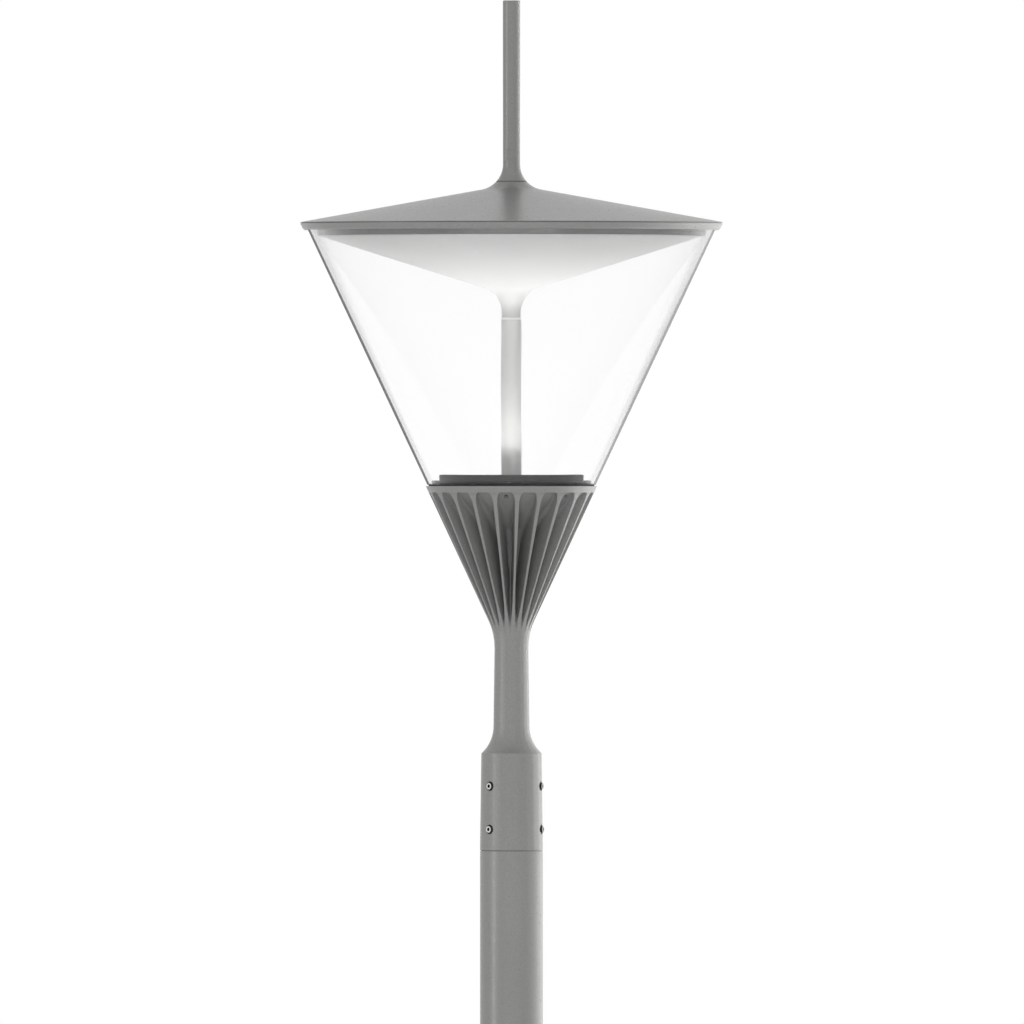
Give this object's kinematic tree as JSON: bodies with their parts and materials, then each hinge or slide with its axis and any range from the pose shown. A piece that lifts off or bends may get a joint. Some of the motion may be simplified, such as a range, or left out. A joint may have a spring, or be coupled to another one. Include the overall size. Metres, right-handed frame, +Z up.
{
  "type": "street lamp post",
  "caption": "Post-top lamp post: ribbed cone head with clear cone, white reflector, flat conical canopy and finial rod, on a stepped round column with a service door and base plate.",
  "frame": {"origin": "centre of the base plate's underside, on the column's axis", "axes": "+Z up along the column; -Y is the front, where the service door is; +X to the right seen from the front"},
  "size_m": [0.5158, 0.5158, 4.0374],
  "materials": {
    "head_paint": "satin",
    "column_paint": "satin",
    "dark_paint": "matte",
    "white_paint": "satin",
    "tube_paint": "satin",
    "clear_cone": "gloss",
    "lens": "gloss",
    "rubber": "matte",
    "zinc": "satin",
    "stainless": "satin",
    "light_plastic": "matte",
    "black_plastic": "satin",
    "board": "satin",
    "brass": "satin"
  },
  "bodies": {
    "column": {"base_plate": "column_paint", "base_gusset_1": "column_paint", "base_gusset_2": "column_paint", "base_gusset_3": "column_paint", "base_gusset_4": "column_paint", "anchor_stud_1": "zinc", "anchor_stud_2": "zinc", "anchor_stud_3": "zinc", "anchor_stud_4": "zinc", "anchor_nut_1": "zinc", "anchor_nut_2": "zinc", "anchor_nut_3": "zinc", "anchor_nut_4": "zinc", "base_tube": "column_paint", "shoulder": "column_paint", "shaft": "column_paint", "spigot": "zinc", "door_frame": "column_paint", "backboard": "zinc", "fuse_box": "light_plastic", "earth_stud": "brass", "supply_cable": "black_plastic"},
    "head": {"housing": "head_paint", "led_plate": "dark_paint", "led_board": "board", "led_lens_plate": "lens", "led_driver": "light_plastic", "terminal_block": "black_plastic", "cable_gland": "black_plastic", "head_lead": "black_plastic", "tie_rod": "zinc", "tie_rod_nut": "zinc", "centre_tube": "tube_paint", "tube_ring": "white_paint", "canopy_spacer": "zinc", "reflector": "white_paint", "glass_cone": "clear_cone", "glass_foot_gasket": "rubber", "glass_head_gasket": "rubber", "canopy_ring": "head_paint", "canopy_cover": "head_paint", "finial_gasket": "rubber", "finial": "head_paint", "set_screw_1": "stainless", "set_screw_2": "stainless", "set_screw_3": "stainless", "set_screw_4": "stainless", "set_screw_5": "stainless", "set_screw_6": "stainless", "led_plate_screw_1": "dark_paint", "led_plate_screw_2": "dark_paint", "led_plate_screw_3": "dark_paint", "led_plate_screw_4": "dark_paint"},
    "door": {"door_panel": "column_paint"},
    "lock": {"door_lock": "stainless"},
    "carrier": {"fuse_carrier": "black_plastic"}
  },
  "joints": [
    {"name": "head_turn", "type": "hinge", "parent": "column", "child": "head", "pos_m": [0, 0, 3], "axis": [0, 0, 1], "range_deg": [-180, 180]},
    {"name": "door_tilt", "type": "hinge", "parent": "column", "child": "door", "pos_m": [0, -0.05715, 0.5005], "axis": [1, 0, 0], "range_deg": [0, 60]},
    {"name": "lock_turn", "type": "hinge", "parent": "door", "child": "lock", "pos_m": [0, -0.05, 0.885], "axis": [0, -1, 0], "range_deg": [0, 90]},
    {"name": "fuse_pull", "type": "slide", "parent": "column", "child": "carrier", "axis": [0, -1, 0], "range_m": [0, 0.03]}
  ]
}
